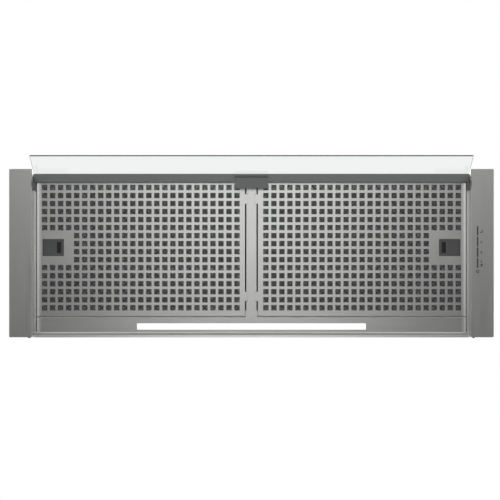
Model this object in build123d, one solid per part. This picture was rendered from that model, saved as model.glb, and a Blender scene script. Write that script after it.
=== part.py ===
from build123d import *
import math
import os

# A 90 cm range hood insert for a wall cabinet, with a folding glass visor.
# Millimetres. X runs to the right, Y from the user towards the wall and Z up.
# z = 0 is the top face of the flange, which bears on the cabinet from below.

# ---------------------------------------------------------------- driving dimensions

# side covers and the recess between them
overall_width = 898.0
cover_depth = 312.0
cover_width = 42.7
cover_sheet = 1.0
cover_corner_radius = 2.5
cover_edge_radius = 0.4
recess_depth = 16.5

# base frame
flange_sheet = 1.5
ledge_width = 3.8
front_rail_width = 4.4
upstand_sheet = 1.5
upstand_height = 24.0
cabinet_screw_inset = 8.5
cabinet_screw_spacing = 240.0
cabinet_screw_radius = 2.25

# sheet-metal body
body_front = -136.5
body_rear = 151.0
body_side_inset = 19.0
body_height = 235.0
body_sheet = 1.2
top_flange_width = 14.0

# centre bar and rear light bar
bar_width = 19.4
bar_sheet = 1.0
bar_height = 15.5
bar_edge_radius = 0.8
bar_foot_length = 11.4
bar_foot_gap = 0.7
light_bar_depth = 28.7
lip_width = 1.6
window_length = 428.0
window_width = 11.4
window_rear_inset = 4.5
diffuser_lap = 1.5
diffuser_sheet = 1.0
lamp_channel_wall = 1.2
lamp_channel_height = 6.5
lamp_board_thickness = 1.6
lamp_board_margin = 4.0
lamp_chip_side = 2.8
lamp_chip_height = 0.8
lamp_chip_pitch = 10.0

# coved rear rail
rail_edge = 1.0
rail_overhang = 1.2
cove_run = 9.7
cove_slope = 45.0

# filters
side_gap = 1.2
bar_slit = 2.4
filter_gap = 0.4
filter_depth = 250.1
filter_sheet = 1.0
filter_height = 9.5
flare_width = 8.6
flare_radius = 45.0
outer_roll = 0.4
front_roll = 0.8
hole_side = 10.0
hole_pitch = 15.0
hole_inner_margin = 14.9
hole_front_margin = 9.0
hole_least_margin = 12.9
mesh_gap = 0.1
mesh_thickness = 5.8
mesh_clearance = 0.5
back_sheet = 1.5
back_gap = 0.1
back_rim = 14.0
back_bar_width = 6.0
back_clearance = 0.3
back_windows_along = 5
back_windows_across = 3

# filter hooks, on which a filter turns at the centre bar
hook_thickness = 1.0
hook_lift = 0.1
hook_reach = 5.1
hook_slot_height = 4.1
hook_slot_clearance = 0.6
front_hook_y = -101.5
front_hook_width = 17.9
rear_hook_y = 81.1
rear_hook_width = 17.4

# filter latches
latch_length = 40.0
latch_width = 32.0
latch_outer_inset = 10.4
latch_y = -10.4
latch_hole_margin = 4.5
latch_proud = 0.3
latch_rim = 1.6
latch_wall = 2.1
latch_roof = 1.2
latch_box_inner_overlap = 8.0
latch_box_overlap = 1.6
latch_box_height = 5.9
latch_travel = 6.0
slider_clearance = 0.1
slider_side_clearance = 0.3
slider_thickness = 1.4
slider_length = 38.0
slider_outer_gap = 0.9
finger_slot_length = 20.6
finger_slot_width = 7.7
finger_slot_inset = 4.6
cup_wall = 1.0
cup_depth = 4.4
bolt_width = 12.0
bolt_thickness = 2.4
bolt_clearance = 0.4
bolt_lift = 0.8
bolt_lap = 2.8
spring_wire_radius = 0.2
spring_mean_radius = 1.2
spring_turns = 6

# visor
visor_pivot_y = -129.0
visor_pivot_z = -10.5
visor_angle = 48.2
visor_root_y = -147.2
glass_end_gap = 2.1
glass_length = 44.0
glass_bond = 6.2
glass_thickness = 3.0
glass_chamfer = 0.4
profile_depth = 15.0
profile_height = 5.0
profile_edge_radius = 0.5
profile_lift = 3.5
arm_thickness = 2.5
arm_upper_radius = 8.6
arm_lower_radius = 12.5
arm_lower_depth = 18.0
arm_gap = 0.9
handle_length = 61.2
handle_front_y = -139.3
handle_rear_y = -120.2
handle_sheet = 1.6
handle_lip_run = 4.7
handle_lip_slope = 22.0
handle_corner_radius = 1.0
handle_foot_width = 4.0
handle_foot_inset = 1.5
handle_foot_spacing = 40.0
pin_radius = 3.0
pin_clearance = 0.05
pin_recess = 0.2
pin_head_radius = 5.0
pin_head_height = 2.0
washer_radius = 5.6
washer_bore_clearance = 0.2
washer_gap = 0.1
bracket_sheet = 2.0
bracket_gap = 0.5
bracket_leg = 15.0
bracket_length = 28.0
bracket_height = 15.0
pin_notch_clearance = 1.0

# blower
fan_axis_z = 108.0
fan_axis_shift_y = 3.0
fan_axis_shift_z = 3.0
volute_start_radius = 79.0
volute_growth = 7.0
scroll_wall = 2.5
scroll_inner_width = 110.0
scroll_flange_width = 24.0
scroll_flange_thickness = 2.5
inlet_radius = 56.0
inlet_ring_wall = 2.5
inlet_lap = 8.0
inlet_depth = 6.0
impeller_radius = 68.0
impeller_width = 98.0
blade_count = 36
blade_chord = 13.0
blade_thickness = 1.2
blade_curve_radius = 14.0
impeller_ring_width = 8.0
impeller_ring_thickness = 2.5
hub_radius = 13.0
hub_length = 24.0
disc_thickness = 2.4
shaft_radius = 4.0
shaft_clearance = 0.05
motor_radius = 42.0
motor_length = 48.0
motor_rear_gap = 6.5
motor_edge_radius = 4.0
motor_arm_count = 3
motor_arm_width = 16.0
motor_arm_sheet = 2.0
motor_mount_circle = 75.0
motor_mount_radius = 6.0
bracket_bore_radius = 12.0

# outlet
collar_y = 10.0
collar_radius = 74.5
collar_wall = 2.0
collar_length = 43.0
collar_flange_side = 176.0
collar_flange_thickness = 2.5
collar_flange_corner = 10.0
gasket_thickness = 2.0
gasket_width = 11.0
stop_ring_height = 2.0
stop_ring_width = 2.5
flap_height = 14.0
flap_thickness = 1.6
flap_clearance = 1.2
flap_stop_gap = 0.3
flap_axis_offset = 3.5
flap_middle_gap = 0.6
flap_pin_radius = 1.8
flap_pin_clearance = 0.05

# electrics
control_box_size = (150.0, 100.0, 36.0)
control_box_inset = 135.0
control_box_y = 40.0
control_box_wall = 2.0
control_lid_thickness = 2.0
terminal_size = (50.0, 22.0, 18.0)
gland_radius = 9.0
gland_length = 16.0
gland_bore_radius = 4.5
gland_hex_radius = 12.0
gland_hex_length = 5.0
driver_size = (120.0, 40.0, 22.0)
driver_centre = (-190.0, 110.0)
capacitor_radius = 16.0
capacitor_length = 62.0
capacitor_centre = (-250.0, 20.0)
touch_board_size = (22.0, 104.0, 1.6)
touch_board_inset = 25.0
touch_board_y = -6.0
touch_board_lift = 0.5

# small hardware
screw_head_radius = 3.5
screw_head_height = 2.0
screw_shank_radius = 1.75
screw_hole_clearance = 0.05
screw_length = 8.0
frame_screw_height = 17.0
frame_screws_side_pitch = 90.0
frame_screws_long_pitch = 200.0
top_screw_inset = 8.0
top_screws_long_pitch = 200.0
blower_screw_inset = 8.0
blower_screw_tip = 3.0
visor_screw_head_radius = 2.0
visor_screw_head_height = 0.6
visor_screw_shank_radius = 1.25
visor_screw_length = 8.0
visor_screw_shares = (0.36, 0.66)
bumper_radius = 2.5
bumper_height = 2.2
bumper_stem_radius = 1.2
bumper_stem_length = 3.0
bumper_inset_x = 7.6
bumper_drop = 10.0
clip_width = 12.0
clip_base = 14.0
clip_sheet = 0.8
clip_drop = 9.0
clip_pitch = 130.0
clips_per_side = 2

# selecting edges by where they lie
pick_tolerance = 0.01

# ---------------------------------------------------------------- levels and limits

cover_outer = overall_width / 2
recess_half = cover_outer - cover_width
opening_half = recess_half - ledge_width
insert_half = opening_half - side_gap
face_z = -flange_sheet
cover_bottom = face_z - recess_depth
body_half = cover_outer - body_side_inset
shell_half = body_half - upstand_sheet
shell_y = (body_front + upstand_sheet, body_rear - upstand_sheet)
top_z = body_height + body_sheet

opening_front = body_front + front_rail_width
filter_front = opening_front + filter_gap
filter_rear = filter_front + filter_depth
light_front = filter_rear + filter_gap
light_rear = light_front + light_bar_depth
opening_rear = light_rear

bar_half = bar_width / 2
filter_inner = bar_half + bar_slit
filter_inside_z = face_z + filter_sheet
filter_top = face_z + filter_height
hook_z = face_z + filter_sheet + hook_lift + hook_thickness / 2
hook_x = filter_inner - hook_reach
HOOKS = ((front_hook_y, front_hook_width), (rear_hook_y, rear_hook_width))

latch_x = (
    insert_half - latch_outer_inset - latch_length,
    insert_half - latch_outer_inset,
)
latch_span_y = (latch_y - latch_width / 2, latch_y + latch_width / 2)
latch_box_x = (latch_x[0] - latch_box_inner_overlap, latch_x[1] + latch_box_overlap)
latch_box_y = (latch_span_y[0] - latch_box_overlap, latch_span_y[1] + latch_box_overlap)
latch_box_z = (filter_inside_z, filter_inside_z + latch_box_height)
bolt_z = (bolt_lift, bolt_lift + bolt_thickness)
bolt_y = (latch_y - bolt_width / 2, latch_y + bolt_width / 2)
slider_x = (
    latch_box_x[1] - latch_wall - slider_outer_gap - slider_length,
    latch_box_x[1] - latch_wall - slider_outer_gap,
)
slider_z = (
    filter_inside_z + slider_clearance,
    filter_inside_z + slider_clearance + slider_thickness,
)
finger_x = (slider_x[0] + finger_slot_inset, slider_x[0] + finger_slot_inset + finger_slot_width)
finger_y = (latch_y - finger_slot_length / 2, latch_y + finger_slot_length / 2)
cup_top = filter_inside_z + slider_clearance + cup_depth

profile_bottom = cover_bottom + profile_lift
profile_top = profile_bottom + profile_height
profile_half = recess_half - arm_gap - arm_thickness
arm_x = (profile_half, profile_half + arm_thickness)
PIVOT = (visor_pivot_y, visor_pivot_z)

fan_y = collar_y - (volute_start_radius + 3 * volute_growth) / 2 + fan_axis_shift_y
fan_z = fan_axis_z + fan_axis_shift_z
scroll_half = scroll_inner_width / 2
motor_rear_x = -(scroll_half + scroll_wall + motor_rear_gap)
gasket_z = (top_z, top_z + gasket_thickness)
collar_base = gasket_z[1]
flap_z = collar_base + flap_height
control_base = top_z
control_box_centre = (body_half - control_box_inset, control_box_y)
blower_screw_length = (
    collar_base + collar_flange_thickness - body_height + scroll_flange_thickness + blower_screw_tip
)


# ---------------------------------------------------------------- helpers


def block(x, y, z):
    """A block from its limits along each axis."""
    size = [high - low for low, high in (x, y, z)]
    middle = [(high + low) / 2 for low, high in (x, y, z)]
    return Pos(*middle) * Box(*size)


def rod(start, end, radius):
    """A round rod between two points."""
    path = Vector(*end) - Vector(*start)
    plane = Plane(origin=start, z_dir=path)
    return plane * Cylinder(radius, path.length, align=(Align.CENTER, Align.CENTER, Align.MIN))


def tube(start, end, radius, bore):
    """A round tube between two points."""
    return rod(start, end, radius) - rod(start, end, bore)


def along_x(section, x):
    """A section drawn in Y and Z, carried along X."""
    return extrude(Plane.YZ.offset(x[0]) * section, amount=x[1] - x[0], dir=(1, 0, 0))


def at_level(section, z):
    """A section drawn in X and Y, carried up from one level to another."""
    return extrude(Plane.XY.offset(z[0]) * section, amount=z[1] - z[0], dir=(0, 0, 1))


def other_side(shape):
    """The same piece on the left."""
    return mirror(shape, about=Plane.YZ)


def near(place):
    """A narrow interval round a coordinate, to pick the edges that lie there."""
    return place - pick_tolerance, place + pick_tolerance


def flared_block(x, y, z, inset, flared):
    """A block whose bottom turns down gently at the ends named in flared: 1 is +X and -1 is -X."""
    shape = block(x, y, z)
    radius = flare_radius + inset
    width = flare_width - inset
    middle = z[0] - radius
    tip = middle + math.sqrt(radius**2 - width**2)
    for side in flared:
        end = x[1] if side > 0 else x[0]
        start = end - side * width
        corner = block(sorted((start, end)), y, (tip, z[0]))
        shape += corner - rod((start, y[0], middle), (start, y[1], middle), radius)
    return shape


def tray(x, y, z, sheet, flared, rolled):
    """A folded sheet tray, open at the top, with flared ends and the named bottom edges rounded."""
    drop = flare_radius - math.sqrt(flare_radius**2 - flare_width**2)
    shape = flared_block(x, y, z, 0, flared)
    for side in flared:
        end = x[1] if side > 0 else x[0]
        edges = shape.edges().filter_by(Axis.Y).filter_by_position(Axis.X, *near(end))
        shape = fillet(edges.filter_by_position(Axis.Z, *near(z[0] - drop)), outer_roll)
    for place in rolled:
        edges = shape.edges().filter_by_position(Axis.Y, *near(place))
        shape = fillet(edges.filter_by_position(Axis.Z, z[0] - drop, z[0] + pick_tolerance), front_roll)
    return shape - flared_block(
        (x[0] + sheet, x[1] - sheet),
        (y[0] + sheet, y[1] - sheet),
        (z[0] + sheet, z[1]),
        sheet,
        flared,
    )


def screw(point, outward, length=screw_length):
    """A pan-head screw: its head sits on the point and its shank goes the other way."""
    point = Vector(*point)
    outward = Vector(*outward)
    head = rod(point, point + outward * screw_head_height, screw_head_radius)
    tip = point - outward * length
    return head + rod(tip, point, screw_shank_radius)


def screw_hole(point, outward, length=screw_length):
    """The hole for such a screw."""
    point = Vector(*point)
    outward = Vector(*outward)
    radius = screw_shank_radius + screw_hole_clearance
    return rod(point - outward * length, point + outward, radius)


def spread(pitch, limit):
    """Places along a line, evenly spaced about its middle and within the limit on each side."""
    steps = int(limit // pitch)
    return [pitch * step for step in range(-steps, steps + 1)]


# ---------------------------------------------------------------- fastener places


def frame_screw_places():
    """Screws that hold the body's walls to the base frame's upstands."""
    middle_y = (body_front + body_rear) / 2
    places = []
    for offset in spread(frame_screws_side_pitch, (body_rear - body_front) / 2 - top_flange_width):
        for side in (-1, 1):
            places.append(((side * body_half, middle_y + offset, frame_screw_height), (side, 0, 0)))
    for x in spread(frame_screws_long_pitch, body_half - top_flange_width):
        places.append(((x, body_rear, frame_screw_height), (0, 1, 0)))
    return places


def top_screw_places():
    """Screws that hold the top plate to the body's top flange."""
    places = []
    for x in spread(top_screws_long_pitch, shell_half - top_flange_width):
        for y in (shell_y[0] + top_screw_inset, shell_y[1] - top_screw_inset):
            places.append(((x, y, top_z), (0, 0, 1)))
    for side in (-1, 1):
        places.append(((side * (shell_half - top_screw_inset), collar_y, top_z), (0, 0, 1)))
    return places


def blower_screw_places():
    """Screws through the collar's flange and the top plate into the scroll's top flange."""
    x = scroll_half + scroll_wall + scroll_flange_width - blower_screw_inset
    chute = volute_start_radius + 3 * volute_growth
    y = chute / 2 + scroll_wall + scroll_flange_width - blower_screw_inset
    z = collar_base + collar_flange_thickness
    corners = [(sx * x, collar_y + sy * y, z) for sx in (-1, 1) for sy in (-1, 1)]
    return [(corner, (0, 0, 1)) for corner in corners]


# ---------------------------------------------------------------- frame and body


def base_frame():
    """Flange ring with its upstands: it carries everything and screws up into the cabinet."""
    plate_z = (face_z, 0)
    half_depth = cover_depth / 2
    side = block((recess_half, cover_outer), (-half_depth, half_depth), plate_z)
    corners = side.edges().filter_by(Axis.Z).filter_by_position(Axis.X, *near(cover_outer))
    side = fillet(corners, cover_corner_radius)
    ledge = block((opening_half, recess_half), (body_front, half_depth), plate_z)
    front = block((-opening_half, opening_half), (body_front, opening_front), plate_z)
    rear = block((-opening_half, opening_half), (opening_rear, half_depth), plate_z)
    upstand_z = (0, upstand_height)
    upstand = block((-body_half, body_half), (body_front, body_rear), upstand_z)
    upstand -= block((-shell_half, shell_half), shell_y, upstand_z)
    frame = side + other_side(side) + ledge + other_side(ledge) + front + rear + upstand
    screw_x = cover_outer - cabinet_screw_inset
    for x in (-screw_x, screw_x):
        for y in (-cabinet_screw_spacing / 2, cabinet_screw_spacing / 2):
            frame -= rod((x, y, face_z), (x, y, 0), cabinet_screw_radius)
    for point, outward in frame_screw_places():
        frame -= screw_hole(point, outward)
    return frame


def housing_shell():
    """The body's four walls inside the upstands, with a flange round the top."""
    outer = block((-shell_half, shell_half), shell_y, (0, body_height))
    inner_x = shell_half - body_sheet
    inner_y = (shell_y[0] + body_sheet, shell_y[1] - body_sheet)
    shell = outer - block((-inner_x, inner_x), inner_y, (0, body_height - body_sheet))
    edge_x = shell_half - top_flange_width
    edge_y = (shell_y[0] + top_flange_width, shell_y[1] - top_flange_width)
    shell -= block((-edge_x, edge_x), edge_y, (0, body_height))
    for point, outward in frame_screw_places() + top_screw_places():
        shell -= screw_hole(point, outward)
    return shell


def top_plate():
    """The body's lid, with the outlet's hole."""
    plate = block((-shell_half, shell_half), shell_y, (body_height, top_z))
    plate -= rod((0, collar_y, body_height), (0, collar_y, top_z), collar_radius - collar_wall)
    for point, outward in top_screw_places():
        plate -= screw_hole(point, outward)
    for point, outward in blower_screw_places():
        plate -= screw_hole(point, outward, blower_screw_length)
    return plate


def side_cover():
    """Right side cover: a folded tray, clipped on from below, that hides the cabinet screws."""
    half_depth = cover_depth / 2
    x = (recess_half, cover_outer)
    y = (-half_depth, half_depth)
    z = (cover_bottom, face_z)
    outer = block(x, y, z)
    corners = outer.edges().filter_by(Axis.Z).filter_by_position(Axis.X, *near(cover_outer))
    outer = fillet(corners, cover_corner_radius)
    rims = outer.edges().filter_by_position(Axis.Z, *near(cover_bottom))
    outer = fillet(rims, cover_edge_radius)
    inner = block(
        (x[0] + cover_sheet, x[1] - cover_sheet),
        (y[0] + cover_sheet, y[1] - cover_sheet),
        (z[0] + cover_sheet, z[1]),
    )
    corners = inner.edges().filter_by(Axis.Z).filter_by_position(Axis.X, *near(x[1] - cover_sheet))
    inner = fillet(corners, cover_corner_radius - cover_sheet)
    cover = outer - inner
    notch = pin_radius + pin_notch_clearance
    wall_x = (recess_half, recess_half + cover_sheet)
    notch_y = (visor_pivot_y - notch, visor_pivot_y + notch)
    cover -= block(wall_x, notch_y, (visor_pivot_z, face_z))
    cover -= rod((wall_x[0], *PIVOT), (wall_x[1], *PIVOT), notch)
    bumper_x = recess_half + bumper_inset_x
    bumper_z = cover_bottom + bumper_drop
    hole = bumper_stem_radius + screw_hole_clearance
    cover -= rod((bumper_x, y[1] - cover_sheet, bumper_z), (bumper_x, y[1], bumper_z), hole)
    return cover


def rear_bumper():
    """A small rubber stud on the side cover's rear wall."""
    x = recess_half + bumper_inset_x
    y = cover_depth / 2
    z = cover_bottom + bumper_drop
    stud = rod((x, y, z), (x, y + bumper_height, z), bumper_radius)
    rim = stud.edges().filter_by(GeomType.CIRCLE).filter_by_position(Axis.Y, *near(y + bumper_height))
    stud = fillet(rim, bumper_height / 3)
    return stud + rod((x, y - bumper_stem_length, z), (x, y, z), bumper_stem_radius)


def cover_clip(y):
    """A spring-steel clip under the flange that grips the side cover's outer wall."""
    wall = cover_outer - cover_sheet
    span = (y - clip_width / 2, y + clip_width / 2)
    base = block((wall - clip_base, wall), span, (face_z - clip_sheet, face_z))
    leaf = block((wall - clip_sheet, wall), span, (face_z - clip_drop, face_z))
    return base + leaf


def cover_clips():
    """All the side covers' clips."""
    clips = []
    for step in range(clips_per_side):
        y = clip_pitch * (step - (clips_per_side - 1) / 2)
        clip = cover_clip(y)
        clips += [clip, other_side(clip)]
    return Compound(clips)


def centre_bar():
    """The channel between the filters, with a slot at each filter hook."""
    y = (opening_front, light_front)
    z = (face_z, face_z + bar_height)
    bar = block((-bar_half, bar_half), y, z)
    lower = bar.edges().filter_by(Axis.Y).filter_by_position(Axis.Z, *near(face_z))
    bar = fillet(lower, bar_edge_radius)
    inner = bar_half - bar_sheet
    bar -= block((-inner, inner), y, (face_z + bar_sheet, z[1]))
    foot_half = filter_inner - bar_foot_gap
    foot_y = (light_front - bar_foot_length, light_front)
    bar += block((-foot_half, foot_half), foot_y, (face_z, face_z + bar_sheet))
    slot_top = hook_z + hook_slot_height - hook_thickness / 2
    slot_inner = hook_x - hook_slot_clearance / 2
    for middle, width in HOOKS:
        reach = width / 2 + hook_slot_clearance
        slot = block((slot_inner, bar_half), (middle - reach, middle + reach), (face_z, slot_top))
        bar -= slot
        bar -= other_side(slot)
    return bar


def light_bar():
    """The rear channel: the lamp's window, flared ends and a half-round lip along its front."""
    x = (-insert_half, insert_half)
    y = (light_front, light_rear)
    z = (face_z, filter_top)
    bar = tray(x, y, z, bar_sheet, (-1, 1), ())
    window_y = (light_rear - window_rear_inset - window_width, light_rear - window_rear_inset)
    half = window_length / 2
    bar -= block((-half, half), window_y, (face_z, face_z + bar_sheet))
    radius = lip_width / 2
    lip_y = (light_front, light_front + lip_width)
    inside = (insert_half - flare_width, face_z + bar_sheet)
    tip = (recess_half - screw_hole_clearance, face_z)
    lip = block((bar_half, inside[0]), lip_y, (face_z, inside[1]))
    lip += rod((bar_half, light_front + radius, face_z), (tip[0], light_front + radius, face_z), radius)
    lip -= block((inside[0], tip[0]), lip_y, (face_z, face_z + radius))
    return bar + lip + other_side(lip)


def led_diffuser():
    """Opal strip that fills the lamp's window from inside, with a lap round it."""
    half = window_length / 2
    window_y = (light_rear - window_rear_inset - window_width, light_rear - window_rear_inset)
    inside = face_z + bar_sheet
    strip = block((-half, half), window_y, (face_z, inside))
    lap_x = half + diffuser_lap
    lap_y = (window_y[0] - diffuser_lap, window_y[1] + diffuser_lap)
    return strip + block((-lap_x, lap_x), lap_y, (inside, inside + diffuser_sheet))


def lamp_channel():
    """Aluminium channel over the diffuser; it carries the lamp board."""
    half = window_length / 2 + diffuser_lap
    window_y = (light_rear - window_rear_inset - window_width, light_rear - window_rear_inset)
    y = (window_y[0] - diffuser_lap, window_y[1] + diffuser_lap)
    base = face_z + bar_sheet + diffuser_sheet
    z = (base, base + lamp_channel_height)
    channel = block((-half, half), y, z)
    wall = lamp_channel_wall
    return channel - block((wall - half, half - wall), (y[0] + wall, y[1] - wall), (z[0], z[1] - wall))


def led_strip():
    """The lamp's board with its row of light-emitting chips, under the channel's roof."""
    half = window_length / 2 - lamp_board_margin
    window_y = (light_rear - window_rear_inset - window_width, light_rear - window_rear_inset)
    middle_y = sum(window_y) / 2
    roof = face_z + bar_sheet + diffuser_sheet + lamp_channel_height - lamp_channel_wall
    underside = roof - lamp_board_thickness
    board = block((-half, half), (window_y[0] + 1, window_y[1] - 1), (underside, roof))
    side = lamp_chip_side / 2
    for x in spread(lamp_chip_pitch, half - lamp_chip_side):
        span_y = (middle_y - side, middle_y + side)
        board += block((x - side, x + side), span_y, (underside - lamp_chip_height, underside))
    return board


def rear_rail():
    """Rail along the recess's rear edge: its underside curves down to the rear."""
    rear = cover_depth / 2 + rail_overhang
    start = rear - cove_run
    top = face_z - rail_edge
    slope = math.radians(cove_slope)
    radius = cove_run / math.sin(slope)
    bottom = top - radius * (1 - math.cos(slope))
    with BuildSketch() as section:
        with BuildLine():
            Line((start, top), (start, face_z))
            Line((start, face_z), (rear, face_z))
            Line((rear, face_z), (rear, bottom))
            RadiusArc((rear, bottom), (start, top), radius)
        make_face()
    return along_x(section.sketch, (-recess_half, recess_half))


# ---------------------------------------------------------------- filters (right side)


def hole_places():
    """Centres of the square holes, leaving the sheet whole round the latch."""
    width = insert_half - filter_inner
    columns = int((width - hole_inner_margin - hole_least_margin) / hole_pitch) + 1
    rows = int((filter_depth - hole_front_margin - hole_least_margin) / hole_pitch) + 1
    reach = hole_side / 2 + latch_hole_margin
    places = []
    for column in range(columns):
        x = filter_inner + hole_inner_margin + hole_pitch * column
        for row in range(rows):
            y = filter_front + hole_front_margin + hole_pitch * row
            beside = latch_x[0] - reach < x < latch_x[1] + reach
            level = latch_span_y[0] - reach < y < latch_span_y[1] + reach
            if not (beside and level):
                places.append((x, y))
    return places


def filter_cover():
    """Perforated stainless tray, with the hooks that it turns on and the latch's opening."""
    x = (filter_inner, insert_half)
    y = (filter_front, filter_rear)
    cover = tray(x, y, (face_z, filter_top), filter_sheet, (1,), y)
    bolt_slot_y = (bolt_y[0] - bolt_clearance, bolt_y[1] + bolt_clearance)
    bolt_slot_z = (bolt_z[0] - bolt_clearance, bolt_z[1] + bolt_clearance)
    cover -= block((insert_half - flare_width, insert_half), bolt_slot_y, bolt_slot_z)
    thick = hook_thickness / 2
    for middle, width in HOOKS:
        span = (middle - width / 2, middle + width / 2)
        plate = block((hook_x, filter_inner + filter_sheet), span, (hook_z - thick, hook_z + thick))
        cover += plate + rod((hook_x, span[0], hook_z), (hook_x, span[1], hook_z), thick)
    squares = Locations(*hole_places()) * Rectangle(hole_side, hole_side)
    opening = Pos(sum(latch_x) / 2, latch_y) * Rectangle(latch_length, latch_width)
    cuts = Sketch() + squares + opening
    return cover - at_level(cuts, (face_z, filter_inside_z))


def latch_box_space(clearance):
    """The room that the latch's box takes behind the perforated sheet."""
    return block(
        (latch_box_x[0] - clearance, latch_box_x[1] + clearance),
        (latch_box_y[0] - clearance, latch_box_y[1] + clearance),
        (latch_box_z[0], latch_box_z[1] + clearance),
    )


def filter_mesh():
    """The pack of expanded metal behind the squares."""
    x = (filter_inner + filter_sheet + mesh_clearance, insert_half - flare_width - mesh_clearance)
    inset = filter_sheet + front_roll
    y = (filter_front + inset, filter_rear - inset)
    z = (filter_inside_z + mesh_gap, filter_inside_z + mesh_gap + mesh_thickness)
    bolt_way = block(
        (latch_x[1], insert_half),
        (bolt_y[0] - bolt_clearance, bolt_y[1] + bolt_clearance),
        z,
    )
    return block(x, y, z) - latch_box_space(mesh_clearance) - bolt_way


def filter_back():
    """The frame that holds the pack down in its tray."""
    gap = filter_sheet + back_clearance
    x = (filter_inner + gap, insert_half - gap)
    y = (filter_front + gap, filter_rear - gap)
    base = filter_inside_z + mesh_gap + mesh_thickness + back_gap
    frame = block(x, y, (base, base + back_sheet))
    inner_x = x[1] - x[0] - 2 * back_rim
    inner_y = y[1] - y[0] - 2 * back_rim
    width = (inner_x - back_bar_width * (back_windows_along - 1)) / back_windows_along
    depth = (inner_y - back_bar_width * (back_windows_across - 1)) / back_windows_across
    pitch_x = width + back_bar_width
    pitch_y = depth + back_bar_width
    windows = GridLocations(pitch_x, pitch_y, back_windows_along, back_windows_across)
    section = Pos(sum(x) / 2, sum(y) / 2) * (Sketch() + windows * Rectangle(width, depth))
    return frame - at_level(section, (base, base + back_sheet))


def latch_bezel():
    """Dark plastic surround that shows in the sheet, with the box that the slider runs in."""
    rim_z = (face_z - latch_proud, filter_inside_z)
    rim = block(latch_x, latch_span_y, rim_z)
    window_x = (latch_x[0] + latch_rim, latch_x[1] - latch_rim)
    window_y = (latch_span_y[0] + latch_rim, latch_span_y[1] - latch_rim)
    rim -= block(window_x, window_y, rim_z)
    wall = latch_wall
    box = latch_box_space(0)
    inner_x = (latch_box_x[0] + wall, latch_box_x[1] - wall)
    inner_y = (latch_box_y[0] + wall, latch_box_y[1] - wall)
    box -= block(inner_x, inner_y, (latch_box_z[0], latch_box_z[1] - latch_roof))
    bolt_way_y = (bolt_y[0] - slider_side_clearance, bolt_y[1] + slider_side_clearance)
    bolt_way_z = (bolt_z[0] - slider_clearance, bolt_z[1] + slider_clearance)
    box -= block((inner_x[1], latch_box_x[1]), bolt_way_y, bolt_way_z)
    return rim + box


def latch_slider():
    """The sliding plate with its finger pocket and its bolt."""
    side = slider_side_clearance
    plate_y = (latch_box_y[0] + latch_wall + side, latch_box_y[1] - latch_wall - side)
    plate = block(slider_x, plate_y, slider_z)
    cup_x = (finger_x[0] - cup_wall, finger_x[1] + cup_wall)
    cup_y = (finger_y[0] - cup_wall, finger_y[1] + cup_wall)
    plate += block(cup_x, cup_y, (slider_z[1], cup_top))
    plate -= block(finger_x, finger_y, (slider_z[0], cup_top - cup_wall))
    bolt = block((slider_x[1] - bolt_width, opening_half + bolt_lap), bolt_y, bolt_z)
    return plate + bolt


def latch_spring():
    """Coil spring that pushes the slider outwards."""
    start = latch_box_x[0] + latch_wall
    end = finger_x[0] - cup_wall
    length = end - start - 2 * spring_wire_radius
    axis_z = slider_z[1] + spring_mean_radius + spring_wire_radius + slider_clearance
    path = Helix(length / spring_turns, length, spring_mean_radius)
    wire = sweep(Plane(origin=path @ 0, z_dir=path % 0) * Circle(spring_wire_radius), path=path)
    place = Plane(origin=(start + spring_wire_radius, latch_y, axis_z), z_dir=(1, 0, 0))
    return place * wire


# ---------------------------------------------------------------- visor


def visor_direction():
    """The glass's direction from its root to its free edge, in Y and Z."""
    angle = math.radians(visor_angle)
    return -math.cos(angle), -math.sin(angle)


def visor_profile():
    """Dark aluminium bar; the glass is bonded to its sloped front land."""
    run_y, run_z = visor_direction()
    land = profile_height / -run_z
    rear = visor_root_y + profile_depth
    section = Polygon(
        (rear, profile_bottom),
        (rear, profile_top),
        (visor_root_y - run_y * land, profile_top),
        (visor_root_y, profile_bottom),
        align=None,
    )
    rear_corners = section.vertices().filter_by_position(Axis.X, *near(rear))
    section = fillet(rear_corners, profile_edge_radius)
    bar = along_x(section, (-profile_half, profile_half))
    for place in visor_screw_places():
        for side in (-1, 1):
            bar -= visor_screw_shank(side, place, screw_hole_clearance)
    return bar


def visor_glass():
    """Clear tempered strip, its lower face on the profile's land."""
    run_y, run_z = visor_direction()
    lift_y, lift_z = run_z, -run_y
    root = Vector(visor_root_y, profile_bottom)
    along = Vector(run_y, run_z)
    across = Vector(lift_y, lift_z)
    corners = [
        root - along * glass_bond,
        root + along * glass_length,
        root + along * glass_length + across * glass_thickness,
        root - along * glass_bond + across * glass_thickness,
    ]
    section = Polygon(*[(point.X, point.Y) for point in corners], align=None)
    half = recess_half - glass_end_gap
    strip = along_x(section, (-half, half))
    return chamfer(strip.edges(), glass_chamfer)


def visor_screw_places():
    """Where the arm's two screws enter the profile's end, in Y and Z."""
    middle = (profile_bottom + profile_top) / 2
    rear = visor_root_y + profile_depth
    return [(rear - profile_depth * share, middle) for share in visor_screw_shares]


def visor_screw_shank(side, place, clearance):
    """A screw's shank, from the arm's outer face into the profile."""
    outer = side * arm_x[1]
    inner = side * (arm_x[1] - visor_screw_length)
    return rod((inner, *place), (outer, *place), visor_screw_shank_radius + clearance)


def visor_screws():
    """The four small screws that hold the arms to the profile."""
    screws = []
    for side in (-1, 1):
        for place in visor_screw_places():
            outer = side * arm_x[1]
            head_end = side * (arm_x[1] + visor_screw_head_height)
            head = rod((outer, *place), (head_end, *place), visor_screw_head_radius)
            screws.append(head + visor_screw_shank(side, place, 0))
    return Compound(screws)


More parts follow.
